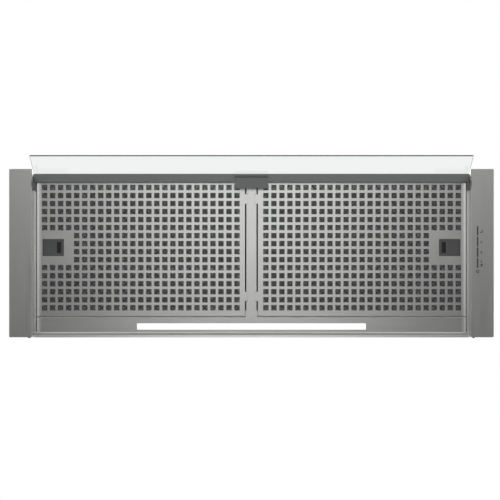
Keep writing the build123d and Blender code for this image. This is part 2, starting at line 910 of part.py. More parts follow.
def visor_arm():
    """Right arm: a plate across the profile's end, round over its pivot and longer below it."""
    rear = visor_root_y + profile_depth
    run_y, run_z = visor_direction()
    land = profile_height / -run_z
    lower = Pos(*PIVOT) * Ellipse(arm_lower_radius, arm_lower_depth)
    below = Rectangle(2 * arm_lower_radius, arm_lower_depth, align=(Align.CENTER, Align.MAX))
    lower &= Pos(*PIVOT) * below
    upper = Pos(*PIVOT) * Circle(arm_upper_radius)
    end = Polygon(
        (visor_pivot_y, profile_bottom),
        (visor_pivot_y, profile_top),
        (visor_root_y - run_y * land, profile_top),
        (visor_root_y + profile_edge_radius, profile_bottom),
        align=None,
    )
    arm = along_x(lower + upper + end, arm_x)
    bore = pin_radius + pin_clearance
    arm -= rod((arm_x[0], *PIVOT), (arm_x[1], *PIVOT), bore)
    for place in visor_screw_places():
        arm -= visor_screw_shank(1, place, screw_hole_clearance)
    return arm


def visor_handle():
    """Folded finger tab at the middle, held to the profile by its lip and two feet."""
    half = handle_length / 2
    sheet = handle_sheet
    bottom = cover_bottom
    lip_front = handle_front_y - handle_lip_run
    lip_z = bottom + handle_lip_run * math.tan(math.radians(handle_lip_slope))
    section = Polygon(
        (handle_rear_y, bottom),
        (handle_rear_y, bottom + sheet),
        (handle_front_y, bottom + sheet),
        (lip_front + sheet, lip_z + sheet),
        (lip_front + sheet, profile_bottom),
        (lip_front, profile_bottom),
        (lip_front, lip_z),
        (handle_front_y, bottom),
        align=None,
    )
    tab = along_x(section, (-half, half))
    corners = tab.edges().filter_by(Axis.Z).filter_by_position(Axis.Y, *near(handle_rear_y))
    tab = fillet(corners, handle_corner_radius)
    foot_y = (handle_front_y + handle_foot_inset, visor_root_y + profile_depth - profile_edge_radius)
    for x in (-handle_foot_spacing / 2, handle_foot_spacing / 2):
        foot_x = (x - handle_foot_width / 2, x + handle_foot_width / 2)
        tab += block(foot_x, foot_y, (bottom + sheet, profile_bottom))
    return tab


def pivot_pin():
    """Right pivot pin, riveted in its bracket."""
    inner = arm_x[0] + pin_recess
    plate = recess_half + cover_sheet + bracket_gap
    head = plate + bracket_sheet
    pin = rod((inner, *PIVOT), (head, *PIVOT), pin_radius)
    return pin + rod((head, *PIVOT), (head + pin_head_height, *PIVOT), pin_head_radius)


def friction_washer():
    """Friction washer between the arm and the side cover's wall."""
    start = arm_x[1] + washer_gap
    end = recess_half - washer_gap
    bore = pin_radius + washer_bore_clearance
    return tube((start, *PIVOT), (end, *PIVOT), washer_radius, bore)


def hinge_bracket():
    """Right steel angle under the flange that holds the pivot pin."""
    inner = recess_half + cover_sheet + bracket_gap
    span = (visor_pivot_y - bracket_length / 2, visor_pivot_y + bracket_length / 2)
    plate = block((inner, inner + bracket_sheet), span, (face_z - bracket_height, face_z))
    leg = block((inner, inner + bracket_leg), span, (face_z - bracket_sheet, face_z))
    hole = rod((inner, *PIVOT), (inner + bracket_sheet, *PIVOT), pin_radius)
    return plate + leg - hole


# ---------------------------------------------------------------- blower


def volute_outline(offset):
    """The scroll's outline in Y and Z: three quarter turns of growing radius, then the chute."""
    start_y = fan_y - fan_axis_shift_y
    grown_y = start_y + volute_growth
    grown_z = fan_axis_z + volute_growth
    first = volute_start_radius + offset
    second = first + volute_growth
    third = second + volute_growth
    rear_y = grown_y + third
    front_y = start_y - offset
    notch = math.degrees(math.asin(offset / first))
    throat_z = fan_axis_z + math.sqrt(first**2 - offset**2)
    with BuildSketch() as section:
        with BuildLine():
            CenterArc((start_y, fan_axis_z), first, 90 + notch, 90 - notch)
            CenterArc((grown_y, fan_axis_z), second, 180, 90)
            CenterArc((grown_y, grown_z), third, 270, 90)
            Line((rear_y, grown_z), (rear_y, body_height))
            Line((rear_y, body_height), (front_y, body_height))
            Line((front_y, body_height), (front_y, throat_z))
        make_face()
    return section.sketch


def scroll_half_shell():
    """Right half of the scroll: half of its wall, a side plate with the inlet, and a top flange."""
    outside = volute_outline(scroll_wall)
    inside = volute_outline(0)
    wall = along_x(outside, (0, scroll_half + scroll_wall)) - along_x(inside, (0, scroll_half))
    hole = inlet_radius + inlet_ring_wall
    plate_x = (scroll_half, scroll_half + scroll_wall)
    wall -= rod((plate_x[0], fan_y, fan_z), (plate_x[1], fan_y, fan_z), hole)
    chute = volute_start_radius + 3 * volute_growth
    flange_y = chute / 2 + scroll_wall + scroll_flange_width
    flange_x = plate_x[1] + scroll_flange_width
    flange_z = (body_height - scroll_flange_thickness, body_height)
    flange = block((0, flange_x), (collar_y - flange_y, collar_y + flange_y), flange_z)
    flange -= block((0, plate_x[1]), (collar_y - chute / 2, collar_y + chute / 2), flange_z)
    wall += flange
    for point, outward in blower_screw_places():
        wall -= screw_hole(point, outward, blower_screw_length)
    return wall


def inlet_ring():
    """Right bell-mouth ring in the scroll's side plate."""
    plate = scroll_half + scroll_wall
    inner = scroll_half - inlet_depth + scroll_wall
    lap = inlet_radius + inlet_ring_wall + inlet_lap
    outer = inlet_radius + inlet_ring_wall
    body = rod((inner, fan_y, fan_z), (plate + inlet_ring_wall, fan_y, fan_z), outer)
    body += rod((plate, fan_y, fan_z), (plate + inlet_ring_wall, fan_y, fan_z), lap)
    ring = body - rod((inner, fan_y, fan_z), (plate + inlet_ring_wall, fan_y, fan_z), inlet_radius)
    mouth = ring.edges().filter_by(GeomType.CIRCLE)
    mouth = mouth.filter_by_position(Axis.X, *near(plate + inlet_ring_wall))
    mouth = [edge for edge in mouth if abs(edge.radius - inlet_radius) < 0.01]
    return fillet(mouth, inlet_ring_wall * 0.9)


def impeller():
    """Double-inlet drum: curved blades between two end rings, on a middle disc and hub."""
    half = impeller_width / 2
    axis = (fan_y, fan_z)
    outer = impeller_radius
    ring_x = half - impeller_ring_thickness
    wheel = rod((-disc_thickness / 2, *axis), (disc_thickness / 2, *axis), outer - blade_thickness)
    for side in (-1, 1):
        inner = outer - impeller_ring_width
        wheel += tube((side * ring_x, *axis), (side * half, *axis), outer, inner)
    root = outer - blade_chord
    tip = outer - blade_thickness
    blade_line = RadiusArc((root, 0), (tip, blade_chord * 0.35), blade_curve_radius)
    blade = trace(blade_line, blade_thickness)
    blades = Sketch() + [Rot(0, 0, 360 / blade_count * step) * blade for step in range(blade_count)]
    wheel += along_x(Pos(*axis) * blades, (-ring_x, ring_x))
    hub_x = (-hub_length / 3, hub_length * 2 / 3)
    wheel += rod((hub_x[0], *axis), (hub_x[1], *axis), hub_radius)
    return wheel - rod((hub_x[0], *axis), (hub_x[1], *axis), shaft_radius)


def rotor_shaft():
    """The motor's shaft, which carries the impeller."""
    start = motor_rear_x - motor_arm_sheet
    end = hub_length * 2 / 3
    return rod((start, fan_y, fan_z), (end, fan_y, fan_z), shaft_radius)


def motor():
    """The motor's can, inside the impeller's left half."""
    end = motor_rear_x + motor_length
    can = rod((motor_rear_x, fan_y, fan_z), (end, fan_y, fan_z), motor_radius)
    can = fillet(can.edges().filter_by(GeomType.CIRCLE), motor_edge_radius)
    bore = shaft_radius + shaft_clearance
    return can - rod((motor_rear_x, fan_y, fan_z), (end, fan_y, fan_z), bore)


def mount_angles():
    """The motor bracket's arms, evenly spaced with one pointing down."""
    return [270 + 360 / motor_arm_count * step for step in range(motor_arm_count)]


def mount_point(angle, x):
    """A point on the motor mounts' circle."""
    turn = math.radians(angle)
    y = fan_y + motor_mount_circle * math.cos(turn)
    z = fan_z + motor_mount_circle * math.sin(turn)
    return x, y, z


def motor_bracket():
    """Three-armed plate behind the motor."""
    section = Sketch() + Circle(motor_radius * 0.7)
    arm = Pos(motor_mount_circle / 2, 0) * Rectangle(motor_mount_circle, motor_arm_width)
    end = Pos(motor_mount_circle, 0) * Circle(motor_arm_width / 2)
    for angle in mount_angles():
        section += Rot(0, 0, angle) * (arm + end)
    section -= Circle(bracket_bore_radius)
    return along_x(Pos(fan_y, fan_z) * section, (motor_rear_x - motor_arm_sheet, motor_rear_x))


def motor_mounts():
    """Rubber mounts between the bracket's arms and the scroll's left side plate."""
    plate = -(scroll_half + scroll_wall)
    mounts = []
    for angle in mount_angles():
        start = mount_point(angle, motor_rear_x)
        end = mount_point(angle, plate)
        mounts.append(rod(start, end, motor_mount_radius))
    return Compound(mounts)


# ---------------------------------------------------------------- outlet


def collar_gasket():
    """Foam ring under the collar's flange."""
    start = (0, collar_y, gasket_z[0])
    end = (0, collar_y, gasket_z[1])
    bore = collar_radius - collar_wall
    return tube(start, end, bore + gasket_width, bore)


def duct_collar():
    """Plastic outlet collar: square flange, round spigot and the stop that the flaps rest on."""
    side = collar_flange_side
    plate = RectangleRounded(side, side, collar_flange_corner)
    collar = at_level(Pos(0, collar_y) * plate, (collar_base, collar_base + collar_flange_thickness))
    bottom = (0, collar_y, collar_base)
    top = (0, collar_y, collar_base + collar_length)
    bore = collar_radius - collar_wall
    collar += rod(bottom, top, collar_radius)
    collar -= rod(bottom, top, bore)
    for point, outward in blower_screw_places():
        collar -= screw_hole(point, outward, blower_screw_length)
    stop_top = flap_z - flap_thickness / 2 - flap_stop_gap
    stop_low = (0, collar_y, stop_top - stop_ring_height)
    stop_high = (0, collar_y, stop_top)
    stop = tube(stop_low, stop_high, bore, bore - stop_ring_width)
    inner_reach = flap_axis_offset + flap_pin_radius + flap_stop_gap
    inner_y = (collar_y - inner_reach, collar_y + inner_reach)
    collar += stop - block((-bore, bore), inner_y, (stop_low[2], stop_high[2]))
    for side in (-1, 1):
        pin_y = collar_y + side * flap_axis_offset
        hole = flap_pin_radius + flap_pin_clearance
        collar -= rod((-collar_radius, pin_y, flap_z), (collar_radius, pin_y, flap_z), hole)
    return collar


def damper_flap(side):
    """Half-round backdraft flap with its pin; side is 1 for the rear one."""
    radius = collar_radius - collar_wall - flap_clearance
    thick = flap_thickness / 2
    inner = side * flap_middle_gap / 2
    outer = side * radius
    half = block(
        (-radius, radius),
        sorted((collar_y + inner, collar_y + outer)),
        (flap_z - thick, flap_z + thick),
    )
    disc = rod((0, collar_y, flap_z - thick), (0, collar_y, flap_z + thick), radius)
    pin_y = collar_y + side * flap_axis_offset
    reach = math.sqrt(collar_radius**2 - flap_axis_offset**2) - flap_middle_gap
    pin = rod((-reach, pin_y, flap_z), (reach, pin_y, flap_z), flap_pin_radius)
    return (half & disc) + pin


# ---------------------------------------------------------------- electrics


def control_box():
    """Plastic box on the top plate for the control electronics and the terminals."""
    length, width, height = control_box_size
    x, y = control_box_centre
    wall = control_box_wall
    span_x = (x - length / 2, x + length / 2)
    span_y = (y - width / 2, y + width / 2)
    box = block(span_x, span_y, (control_base, control_base + height))
    box = fillet(box.edges().filter_by(Axis.Z), 2 * wall)
    box -= block(
        (span_x[0] + wall, span_x[1] - wall),
        (span_y[0] + wall, span_y[1] - wall),
        (control_base + wall, control_base + height),
    )
    middle = control_base + height / 2
    return box - rod((x, span_y[1] - wall, middle), (x, span_y[1], middle), gland_radius)


def control_box_lid():
    """The control box's lid, with a rim that drops inside the walls."""
    length, width, height = control_box_size
    x, y = control_box_centre
    base = control_base + height
    outline = RectangleRounded(length, width, 2 * control_box_wall)
    lid = at_level(Pos(x, y) * outline, (base, base + control_lid_thickness))
    inset = control_box_wall + screw_hole_clearance
    rim = Rectangle(length - 2 * inset, width - 2 * inset)
    rim -= Rectangle(length - 4 * inset, width - 4 * inset)
    return lid + at_level(Pos(x, y) * rim, (base - 2 * control_lid_thickness, base))


def terminal_block():
    """Mains terminals inside the control box."""
    length, width, height = terminal_size
    x, y = control_box_centre
    floor = control_base + control_box_wall
    block_y = y + control_box_size[1] / 4
    body = block(
        (x - length / 2, x + length / 2),
        (block_y - width / 2, block_y + width / 2),
        (floor, floor + height),
    )
    for step in range(-2, 3):
        well_x = x + step * length / 6
        body -= rod((well_x, block_y, floor + height / 2), (well_x, block_y, floor + height), width / 8)
    return body


def cable_gland():
    """Mains cable inlet in the control box's rear wall."""
    x = control_box_centre[0]
    wall_y = control_box_centre[1] + control_box_size[1] / 2
    z = control_base + control_box_size[2] / 2
    inner = wall_y - control_box_wall - gland_hex_length
    gland = rod((x, inner, z), (x, wall_y + gland_length, z), gland_radius)
    nut = Plane(origin=(x, wall_y, z), x_dir=(1, 0, 0), z_dir=(0, 1, 0)) * RegularPolygon(gland_hex_radius, 6)
    gland += extrude(nut, amount=gland_hex_length)
    gland -= rod((x, inner, z), (x, wall_y + gland_length, z), gland_bore_radius)
    rim = gland.edges().filter_by(GeomType.CIRCLE).filter_by_position(Axis.Y, *near(wall_y + gland_length))
    return fillet(rim, gland_bore_radius / 3)


def under_top_plate(size, centre):
    """A block that hangs from the top plate's underside."""
    length, width, height = size
    x, y = centre
    return block(
        (x - length / 2, x + length / 2),
        (y - width / 2, y + width / 2),
        (body_height - height, body_height),
    )


def led_driver():
    """The lamp's supply under the top plate."""
    driver = under_top_plate(driver_size, driver_centre)
    lower = driver.edges().filter_by_position(Axis.Z, *near(body_height - driver_size[2]))
    return fillet(lower, 2)


def capacitor():
    """The motor's capacitor, hung from the top plate."""
    x, y = capacitor_centre
    can = rod((x, y, body_height - capacitor_length), (x, y, body_height), capacitor_radius)
    lower = can.edges().filter_by_position(Axis.Z, *near(body_height - capacitor_length))
    return fillet(lower, 2)


def touch_board():
    """The touch controls' board inside the right side cover."""
    length, width, thickness = touch_board_size
    x, y = cover_outer - touch_board_inset, touch_board_y
    base = cover_bottom + cover_sheet + touch_board_lift
    board = block(
        (x - length / 2, x + length / 2),
        (y - width / 2, y + width / 2),
        (base, base + thickness),
    )
    pads = spread(width / 5, width / 2 - length / 4)
    for offset in pads:
        spot = (x, y + offset)
        board += rod((*spot, base - touch_board_lift), (*spot, base), length / 8)
    return board


# ---------------------------------------------------------------- nodes


def both_sides(name, shape):
    """A piece and its mirror image as two nodes."""
    return {f"{name}_right": shape, f"{name}_left": other_side(shape)}


def screws_at(places, length=screw_length):
    """A group of like screws."""
    return Compound([screw(point, outward, length) for point, outward in places])


def pair(shape):
    """A piece and its mirror image as one group."""
    return Compound([shape, other_side(shape)])


nodes = {
    "base_frame": base_frame(),
    "housing_shell": housing_shell(),
    "top_plate": top_plate(),
    "centre_bar": centre_bar(),
    "light_bar": light_bar(),
    "rear_rail": rear_rail(),
    "led_diffuser": led_diffuser(),
    "lamp_channel": lamp_channel(),
    "led_strip": led_strip(),
    "led_driver": led_driver(),
    "touch_board": touch_board(),
    "rear_bumpers": pair(rear_bumper()),
    "cover_clips": cover_clips(),
    "visor_profile": visor_profile(),
    "visor_glass": visor_glass(),
    "visor_handle": visor_handle(),
    "visor_screws": visor_screws(),
    "pivot_pins": pair(pivot_pin()),
    "friction_washers": pair(friction_washer()),
    "impeller": impeller(),
    "rotor_shaft": rotor_shaft(),
    "motor": motor(),
    "motor_bracket": motor_bracket(),
    "motor_mounts": motor_mounts(),
    "capacitor": capacitor(),
    "duct_collar": duct_collar(),
    "collar_gasket": collar_gasket(),
    "damper_flap_rear": damper_flap(1),
    "damper_flap_front": damper_flap(-1),
    "control_box": control_box(),
    "control_box_lid": control_box_lid(),
    "terminal_block": terminal_block(),
    "cable_gland": cable_gland(),
    "frame_screws": screws_at(frame_screw_places()),
    "top_screws": screws_at(top_screw_places()),
    "blower_screws": screws_at(blower_screw_places(), blower_screw_length),
}
nodes |= both_sides("side_cover", side_cover())
nodes |= both_sides("hinge_bracket", hinge_bracket())
nodes |= both_sides("visor_arm", visor_arm())
nodes |= both_sides("filter_cover", filter_cover())
nodes |= both_sides("filter_mesh", filter_mesh())
nodes |= both_sides("filter_back", filter_back())
nodes |= both_sides("latch_bezel", latch_bezel())
nodes |= both_sides("latch_slider", latch_slider())
nodes |= both_sides("latch_spring", latch_spring())
nodes |= both_sides("scroll", scroll_half_shell())
nodes |= both_sides("inlet_ring", inlet_ring())

os.makedirs("parts", exist_ok=True)
for name, shape in nodes.items():
    export_step(shape, f"parts/{name}.step")
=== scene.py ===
import math

import bpy
import numpy as np
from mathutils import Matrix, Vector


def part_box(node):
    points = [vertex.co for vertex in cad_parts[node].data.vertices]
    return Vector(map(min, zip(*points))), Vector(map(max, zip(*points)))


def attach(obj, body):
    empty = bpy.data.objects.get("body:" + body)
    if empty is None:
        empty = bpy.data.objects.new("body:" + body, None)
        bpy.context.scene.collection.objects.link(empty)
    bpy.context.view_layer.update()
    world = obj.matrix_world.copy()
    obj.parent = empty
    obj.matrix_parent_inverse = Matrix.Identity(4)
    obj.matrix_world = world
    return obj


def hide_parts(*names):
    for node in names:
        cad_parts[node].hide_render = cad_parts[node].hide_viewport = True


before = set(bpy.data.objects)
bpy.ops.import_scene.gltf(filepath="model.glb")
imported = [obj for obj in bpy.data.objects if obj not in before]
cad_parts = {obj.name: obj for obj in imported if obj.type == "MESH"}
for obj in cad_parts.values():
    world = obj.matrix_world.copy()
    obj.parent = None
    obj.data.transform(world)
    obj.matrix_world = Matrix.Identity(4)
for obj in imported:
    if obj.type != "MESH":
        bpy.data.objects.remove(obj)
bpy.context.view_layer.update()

bl_info = {
    "name": "Range Hood Insert",
    "version": (1, 0, 0),
    "blender": (4, 5, 0),
    "location": "View3D > Sidebar > Hood",
    "description": "Finishes, filter mesh, printed marks and stage for a range hood insert",
    "category": "Object",
}

MM = 0.001
LATCH_CUP_SHADE_RISE = 0.6 * MM  # from a latch's face up to where its finger cup is painted near-black: painted shade for the cup's hollow
HANDLE_SHADE = 0.78  # painted shade: the visor's handle takes the bar's colour darkened by this factor, for the shade it lies in
RIM_TONE = 1.1  # how pale a latch's rim is beside its slider
PANEL_STEP = 10 * MM  # from one soft panel up to the next
TOP_PANEL_SIZE = (1.4, 0.8)


# ------------------------------------------------------------------ colours and nodes


def linear(code):
    """Linear RGBA from an sRGB hex code."""
    channels = [int(code[i : i + 2], 16) / 255 for i in (1, 3, 5)]
    return tuple(c / 12.92 if c <= 0.04045 else ((c + 0.055) / 1.055) ** 2.4 for c in channels) + (1.0,)


def add(tree, kind, inputs=None, **settings):
    """Adds a node, applies its settings, and sets or links the inputs given by name or number."""
    item = tree.nodes.new(kind)
    for name, value in settings.items():
        setattr(item, name, value)
    for key, value in (inputs or {}).items():
        socket = item.inputs[key]
        if isinstance(value, bpy.types.NodeSocket):
            tree.links.new(value, socket)
        else:
            socket.default_value = value
    return item


def new_material(name):
    """An empty node material and its tree."""
    material = bpy.data.materials.new(name)
    material.use_nodes = True
    material.node_tree.nodes.clear()
    return material, material.node_tree


def close(tree, shader):
    """Joins a shader to the material's output."""
    add(tree, "ShaderNodeOutputMaterial", {"Surface": shader.outputs[0]})


def dress(material, *names):
    """Gives the named CAD nodes this material in all their slots."""
    for name in names:
        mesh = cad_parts[name].data
        mesh.materials.clear()
        mesh.materials.append(material)


# ------------------------------------------------------------------ finishes


def grained_stainless(name, colour, roughness, grain_axis):
    """Stainless steel sheet, belt-grained on rolls: satin, with fine straight scratches one way.

    The real scratches are about 0.1 mm apart; they are drawn 1.4 mm apart here so that they show.
    """
    material, tree = new_material(name)
    where = add(tree, "ShaderNodeTexCoord").outputs["Object"]
    along, across = 12.0, 700.0
    scale = (along, across, across) if grain_axis == "X" else (across, along, across)
    stretched = add(tree, "ShaderNodeMapping", {"Vector": where, "Scale": scale})
    scratches = add(
        tree,
        "ShaderNodeTexNoise",
        {"Vector": stretched.outputs[0], "Scale": 1.0, "Detail": 3.0, "Roughness": 0.6},
    )
    clouds = add(tree, "ShaderNodeTexNoise", {"Vector": where, "Scale": 9.0, "Detail": 2.0})
    tone = add(
        tree,
        "ShaderNodeMapRange",
        {"Value": scratches.outputs["Fac"], "From Min": 0.3, "From Max": 0.7,
         "To Min": roughness - 0.03, "To Max": roughness + 0.04},
    )
    paler = tuple(min(1.0, c * 1.05) for c in colour[:3]) + (1.0,)
    shade = add(tree, "ShaderNodeMix", data_type="RGBA")
    tree.links.new(clouds.outputs["Fac"], shade.inputs["Factor"])
    shade.inputs[6].default_value = colour
    shade.inputs[7].default_value = paler
    relief = add(
        tree,
        "ShaderNodeBump",
        {"Height": scratches.outputs["Fac"], "Strength": 0.06, "Distance": 0.0002},
    )
    steel = add(
        tree,
        "ShaderNodeBsdfPrincipled",
        {"Base Color": shade.outputs[2], "Metallic": 1.0, "Roughness": tone.outputs[0],
         "Normal": relief.outputs[0]},
    )
    close(tree, steel)
    return material


def moulded_plastic(name, colour, roughness, grit=0.5, cup_shade_above=None):
    """Injection-moulded plastic from a spark-eroded mould: matte, with a fine even grit.

    Sprayed enamel and printed ink are as even, and are made here too. The grit is given in millimetres
    across, coarser than the real 0.1 mm so that it shows.
    Above the height given, in metres, the plastic is darkened to near-black: painted shade for the
    hollow of a finger cup.
    """
    material, tree = new_material(name)
    where = add(tree, "ShaderNodeTexCoord").outputs["Object"]
    texture = add(tree, "ShaderNodeTexNoise", {"Vector": where, "Scale": 1000.0 / grit, "Detail": 2.0})
    flow = add(tree, "ShaderNodeTexNoise", {"Vector": where, "Scale": 25.0, "Detail": 3.0})
    tone = add(
        tree,
        "ShaderNodeMapRange",
        {"Value": flow.outputs["Fac"], "To Min": roughness - 0.05, "To Max": roughness + 0.05},
    )
    darker = tuple(c * 0.86 for c in colour[:3]) + (1.0,)
    shade = add(tree, "ShaderNodeMix", data_type="RGBA")
    tree.links.new(flow.outputs["Fac"], shade.inputs["Factor"])
    shade.inputs[6].default_value = darker
    shade.inputs[7].default_value = colour
    # painted shade: above that height, inside the finger cup, the colour is darkened to 15 % of itself
    if cup_shade_above is not None:
        level = add(tree, "ShaderNodeSeparateXYZ", {"Vector": where})
        inside = add(tree, "ShaderNodeMath", {0: level.outputs["Z"], 1: cup_shade_above},
                     operation="GREATER_THAN")
        cup_shade = add(tree, "ShaderNodeMix", data_type="RGBA")
        tree.links.new(inside.outputs[0], cup_shade.inputs["Factor"])
        tree.links.new(shade.outputs[2], cup_shade.inputs[6])
        cup_shade.inputs[7].default_value = tuple(c * 0.15 for c in colour[:3]) + (1.0,)
        shade = cup_shade
    relief = add(
        tree,
        "ShaderNodeBump",
        {"Height": texture.outputs["Fac"], "Strength": 0.12, "Distance": 0.0003},
    )
    plastic = add(
        tree,
        "ShaderNodeBsdfPrincipled",
        {"Base Color": shade.outputs[2], "Roughness": tone.outputs[0], "IOR": 1.53,
         "Normal": relief.outputs[0]},
    )
    close(tree, plastic)
    return material


def zinc_sheet(name, colour, spangle=9.0):
    """Hot-dip galvanised steel: pale crystals of zinc, each a little different in tone."""
    material, tree = new_material(name)
    where = add(tree, "ShaderNodeTexCoord").outputs["Object"]
    crystals = add(tree, "ShaderNodeTexVoronoi", {"Vector": where, "Scale": 1000.0 / spangle})
    tone = add(
        tree,
        "ShaderNodeMapRange",
        {"Value": crystals.outputs["Color"], "To Min": 0.38, "To Max": 0.55},
    )
    darker = tuple(c * 0.8 for c in colour[:3]) + (1.0,)
    shade = add(tree, "ShaderNodeMix", data_type="RGBA")
    tree.links.new(crystals.outputs["Color"], shade.inputs["Factor"])
    shade.inputs[6].default_value = darker
    shade.inputs[7].default_value = colour
    zinc = add(
        tree,
        "ShaderNodeBsdfPrincipled",
        {"Base Color": shade.outputs[2], "Metallic": 1.0, "Roughness": tone.outputs[0]},
    )
    close(tree, zinc)
    return material


def bare_metal(name, colour, roughness, mark=0.6):
    """Turned, drawn or plated metal: satin, with faint uneven marks left by the tool."""
    material, tree = new_material(name)
    where = add(tree, "ShaderNodeTexCoord").outputs["Object"]
    marks = add(tree, "ShaderNodeTexNoise", {"Vector": where, "Scale": 1000.0 / mark, "Detail": 3.0})
    tone = add(
        tree,
        "ShaderNodeMapRange",
        {"Value": marks.outputs["Fac"], "To Min": roughness - 0.06, "To Max": roughness + 0.06},
    )
    darker = tuple(c * 0.88 for c in colour[:3]) + (1.0,)
    shade = add(tree, "ShaderNodeMix", data_type="RGBA")
    tree.links.new(marks.outputs["Fac"], shade.inputs["Factor"])
    shade.inputs[6].default_value = darker
    shade.inputs[7].default_value = colour
    metal = add(
        tree,
        "ShaderNodeBsdfPrincipled",
        {"Base Color": shade.outputs[2], "Metallic": 1.0, "Roughness": tone.outputs[0]},
    )
    close(tree, metal)
    return material


def clear_glass(name, colour):
    """Tempered soda-lime float glass: clear, wiped clean, with a faint green cast."""
    material, tree = new_material(name)
    where = add(tree, "ShaderNodeTexCoord").outputs["Object"]
    wipe = add(tree, "ShaderNodeTexNoise", {"Vector": where, "Scale": 14.0, "Detail": 2.0})
    tone = add(
        tree,
        "ShaderNodeMapRange",
        {"Value": wipe.outputs["Fac"], "To Min": 0.0, "To Max": 0.03},
    )
    glass = add(
        tree,
        "ShaderNodeBsdfPrincipled",
        {"Base Color": colour, "Roughness": tone.outputs[0], "IOR": 1.52, "Transmission Weight": 1.0},
    )
    close(tree, glass)
    return material


def lit_opal(name, colour, strength):
    """Opal acrylic strip with the lamp on behind it: even white light with a very faint haze."""
    material, tree = new_material(name)
    where = add(tree, "ShaderNodeTexCoord").outputs["Object"]
    haze = add(tree, "ShaderNodeTexNoise", {"Vector": where, "Scale": 60.0, "Detail": 1.0})
    glow = add(tree, "ShaderNodeMix", data_type="RGBA")
    tree.links.new(haze.outputs["Fac"], glow.inputs["Factor"])
    glow.inputs[6].default_value = colour
    glow.inputs[7].default_value = tuple(c * 0.97 for c in colour[:3]) + (1.0,)
    opal = add(
        tree,
        "ShaderNodeBsdfPrincipled",
        {"Base Color": glow.outputs[2], "Roughness": 0.4, "IOR": 1.49,
         "Emission Color": glow.outputs[2], "Emission Strength": strength},
    )
    close(tree, opal)
    return material


def soft_moulding(name, colour, pore):
    """Moulded rubber or foam: dull, with pores or a faint bloom."""
    material, tree = new_material(name)
    where = add(tree, "ShaderNodeTexCoord").outputs["Object"]
    pores = add(tree, "ShaderNodeTexVoronoi", {"Vector": where, "Scale": 1000.0 / pore})
    bloom = add(tree, "ShaderNodeTexNoise", {"Vector": where, "Scale": 120.0, "Detail": 3.0})
    paler = tuple(min(1.0, c * 1.25 + 0.01) for c in colour[:3]) + (1.0,)
    shade = add(tree, "ShaderNodeMix", data_type="RGBA")
    tree.links.new(bloom.outputs["Fac"], shade.inputs["Factor"])
    shade.inputs[6].default_value = colour
    shade.inputs[7].default_value = paler
    relief = add(
        tree,
        "ShaderNodeBump",
        {"Height": pores.outputs["Distance"], "Strength": 0.2, "Distance": 0.0003},
    )
    soft = add(
        tree,
        "ShaderNodeBsdfPrincipled",
        {"Base Color": shade.outputs[2], "Roughness": 0.8, "IOR": 1.5, "Normal": relief.outputs[0]},
    )
    close(tree, soft)
    return material


def circuit_board(name, mask, copper):
    """Glass-fibre board under green solder mask: glossy, with copper tracks showing paler."""
    material, tree = new_material(name)
    where = add(tree, "ShaderNodeTexCoord").outputs["Object"]
    tracks = add(
        tree,
        "ShaderNodeTexBrick",
        {"Vector": where, "Color1": mask, "Color2": mask, "Mortar": copper, "Scale": 160.0,
         "Mortar Size": 0.03},
    )
    weave = add(tree, "ShaderNodeTexNoise", {"Vector": where, "Scale": 900.0, "Detail": 1.0})
    tone = add(
        tree,
        "ShaderNodeMapRange",
        {"Value": weave.outputs["Fac"], "To Min": 0.28, "To Max": 0.42},
    )
    board = add(
        tree,
        "ShaderNodeBsdfPrincipled",
        {"Base Color": tracks.outputs["Color"], "Roughness": tone.outputs[0], "IOR": 1.55},
    )
    close(tree, board)
    return material


# ------------------------------------------------------------------ shapes


def make_piece(name, points, faces, material, body):
    """A mesh object from arrays of points and faces, in metres, riding on a CAD body."""
    mesh = bpy.data.meshes.new(name)
    mesh.from_pydata(points.tolist(), [], faces)
    mesh.update()
    mesh.materials.append(material)
    piece = bpy.data.objects.new(name, mesh)
    bpy.context.scene.collection.objects.link(piece)
    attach(piece, body)
    return piece


